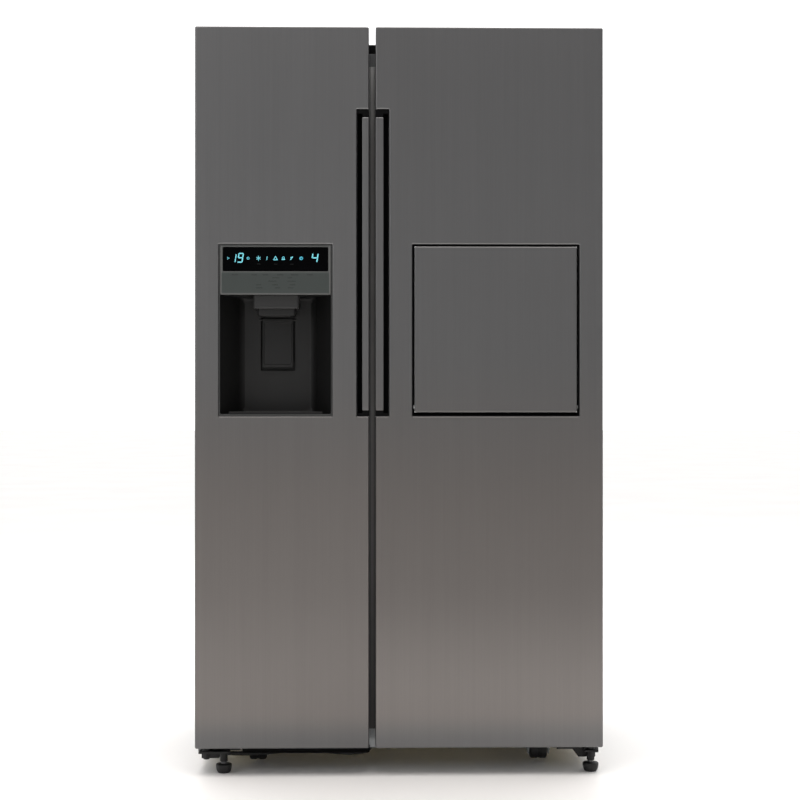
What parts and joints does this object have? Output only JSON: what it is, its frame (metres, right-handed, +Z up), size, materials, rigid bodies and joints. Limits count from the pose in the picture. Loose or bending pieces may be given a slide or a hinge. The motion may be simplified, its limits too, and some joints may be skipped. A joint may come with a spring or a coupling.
{
  "type": "side by side refrigerator",
  "caption": "Side by side fridge freezer with an ice and water dispenser, a drop-down home bar door and recessed pull handles.",
  "frame": {"origin": "on the floor, under the middle of the appliance's bounding box", "axes": "+Z up; -Y out of the doors toward the user; +X to the right of someone who faces the doors"},
  "size_m": [0.94, 0.74, 1.726],
  "materials": {
    "door_steel": "satin",
    "case_paint": "matte",
    "bright_steel": "satin",
    "black_paint": "satin",
    "black_plastic": "satin",
    "grey_plastic": "satin",
    "white_plastic": "satin",
    "clear_plastic": "gloss",
    "shelf_glass": "gloss",
    "display_glass": "gloss",
    "seal_rubber": "matte",
    "foam": "matte",
    "fin_aluminium": "satin",
    "hose_plastic": "satin",
    "roller_plastic": "satin"
  },
  "bodies": {
    "cabinet": {"outer_case": "case_paint", "cabinet_foam": "foam", "freezer_liner": "white_plastic", "fridge_liner": "white_plastic", "centre_rail": "case_paint", "rear_panel": "bright_steel", "base_frame": "bright_steel", "upper_hinge_left": "bright_steel", "lower_hinge_left": "black_paint", "upper_hinge_right": "bright_steel", "lower_hinge_right": "black_paint", "top_cover": "black_plastic", "compressor": "black_paint", "condenser_coil": "black_paint", "machine_cover": "bright_steel", "evaporator": "fin_aluminium", "evaporator_cover": "white_plastic", "water_hose": "hose_plastic", "freezer_shelf": "shelf_glass", "crisper_cover": "shelf_glass", "fridge_shelf_lower": "shelf_glass", "fridge_shelf_upper": "shelf_glass", "ice_maker": "white_plastic"},
    "freezer_door": {"freezer_door_skin": "door_steel", "freezer_door_liner": "white_plastic", "freezer_door_gasket": "seal_rubber", "freezer_handle_pocket": "black_plastic", "freezer_handle_bar": "door_steel", "dispenser_housing": "black_plastic", "control_panel": "grey_plastic", "display_window": "display_glass", "ice_chute": "grey_plastic", "drip_tray": "grey_plastic", "freezer_bin_lower": "clear_plastic", "freezer_bin_upper": "clear_plastic"},
    "fridge_door": {"fridge_door_skin": "door_steel", "fridge_door_liner": "white_plastic", "fridge_door_gasket": "seal_rubber", "fridge_handle_pocket": "black_plastic", "fridge_handle_bar": "door_steel", "homebar_frame": "black_plastic", "homebar_box": "clear_plastic", "fridge_bin_lower": "clear_plastic", "fridge_bin_upper": "clear_plastic"},
    "homebar_flap": {"homebar_flap_face": "door_steel", "homebar_flap_inner": "white_plastic"},
    "homebar_latch": {"homebar_latch": "grey_plastic"},
    "dispenser_paddle": {"dispenser_paddle": "black_plastic"},
    "freezer_drawer_lower": {"freezer_drawer_lower": "clear_plastic"},
    "freezer_drawer_upper": {"freezer_drawer_upper": "clear_plastic"},
    "crisper_drawer_lower": {"crisper_drawer_lower": "clear_plastic"},
    "crisper_drawer_upper": {"crisper_drawer_upper": "clear_plastic"},
    "ice_bucket": {"ice_bucket": "clear_plastic"},
    "levelling_foot_left": {"levelling_foot_left": "roller_plastic"},
    "levelling_foot_right": {"levelling_foot_right": "roller_plastic"},
    "front_roller_left": {"front_roller_left": "roller_plastic"},
    "front_roller_right": {"front_roller_right": "roller_plastic"},
    "rear_roller_left": {"rear_roller_left": "roller_plastic"},
    "rear_roller_right": {"rear_roller_right": "roller_plastic"},
    "condenser_fan": {"condenser_fan": "white_plastic"}
  },
  "joints": [
    {"name": "freezer_door_swing", "type": "hinge", "parent": "cabinet", "child": "freezer_door", "pos_m": [-0.446, -0.338, 0.9], "axis": [0, 0, -1], "range_deg": [0, 120]},
    {"name": "fridge_door_swing", "type": "hinge", "parent": "cabinet", "child": "fridge_door", "pos_m": [0.446, -0.338, 0.9], "axis": [0, 0, 1], "range_deg": [0, 120]},
    {"name": "homebar_flap_drop", "type": "hinge", "parent": "fridge_door", "child": "homebar_flap", "pos_m": [0.2225, -0.358, 0.8505], "axis": [1, 0, 0], "range_deg": [0, 90]},
    {"name": "homebar_latch_push", "type": "slide", "parent": "fridge_door", "child": "homebar_latch", "axis": [0, 1, 0], "range_m": [0, 0.004], "stiffness_N_per_m": 300, "springref_m": -0.002},
    {"name": "dispenser_paddle_push", "type": "hinge", "parent": "freezer_door", "child": "dispenser_paddle", "pos_m": [-0.2845, -0.274, 1.055], "axis": [1, 0, 0], "range_deg": [0, 8], "stiffness_Nm_per_rad": 0.06, "springref_deg": -8.59},
    {"name": "freezer_drawer_lower_slide", "type": "slide", "parent": "cabinet", "child": "freezer_drawer_lower", "axis": [0, -1, 0], "range_m": [0, 0.22]},
    {"name": "freezer_drawer_upper_slide", "type": "slide", "parent": "cabinet", "child": "freezer_drawer_upper", "axis": [0, -1, 0], "range_m": [0, 0.22]},
    {"name": "ice_bucket_slide", "type": "slide", "parent": "cabinet", "child": "ice_bucket", "axis": [0, -1, 0], "range_m": [0, 0.22]},
    {"name": "crisper_drawer_lower_slide", "type": "slide", "parent": "cabinet", "child": "crisper_drawer_lower", "axis": [0, -1, 0], "range_m": [0, 0.22]},
    {"name": "crisper_drawer_upper_slide", "type": "slide", "parent": "cabinet", "child": "crisper_drawer_upper", "axis": [0, -1, 0], "range_m": [0, 0.22]},
    {"name": "levelling_foot_left_turn", "type": "hinge", "parent": "cabinet", "child": "levelling_foot_left", "pos_m": [-0.408, -0.321, 0.03], "axis": [0, 0, 1], "continuous": true},
    {"name": "levelling_foot_right_turn", "type": "hinge", "parent": "cabinet", "child": "levelling_foot_right", "pos_m": [0.448, -0.321, 0.03], "axis": [0, 0, 1], "continuous": true},
    {"name": "front_roller_left_spin", "type": "hinge", "parent": "cabinet", "child": "front_roller_left", "pos_m": [-0.335, -0.226, 0.03], "axis": [1, 0, 0], "continuous": true},
    {"name": "front_roller_right_spin", "type": "hinge", "parent": "cabinet", "child": "front_roller_right", "pos_m": [0.335, -0.226, 0.03], "axis": [1, 0, 0], "continuous": true},
    {"name": "rear_roller_left_spin", "type": "hinge", "parent": "cabinet", "child": "rear_roller_left", "pos_m": [-0.335, 0.305, 0.022], "axis": [1, 0, 0], "continuous": true},
    {"name": "rear_roller_right_spin", "type": "hinge", "parent": "cabinet", "child": "rear_roller_right", "pos_m": [0.335, 0.305, 0.022], "axis": [1, 0, 0], "continuous": true},
    {"name": "condenser_fan_spin", "type": "hinge", "parent": "cabinet", "child": "condenser_fan", "pos_m": [0.06, 0.25, 0.133], "axis": [1, 0, 0], "continuous": true}
  ],
  "couplings": [
    {"joint": "freezer_drawer_lower_slide", "follows": "freezer_door_swing", "m_per_rad": 0.10504},
    {"joint": "freezer_drawer_upper_slide", "follows": "freezer_door_swing", "m_per_rad": 0.10504},
    {"joint": "ice_bucket_slide", "follows": "freezer_door_swing", "m_per_rad": 0.10504},
    {"joint": "crisper_drawer_lower_slide", "follows": "fridge_door_swing", "m_per_rad": 0.10504},
    {"joint": "crisper_drawer_upper_slide", "follows": "fridge_door_swing", "m_per_rad": 0.10504}
  ]
}
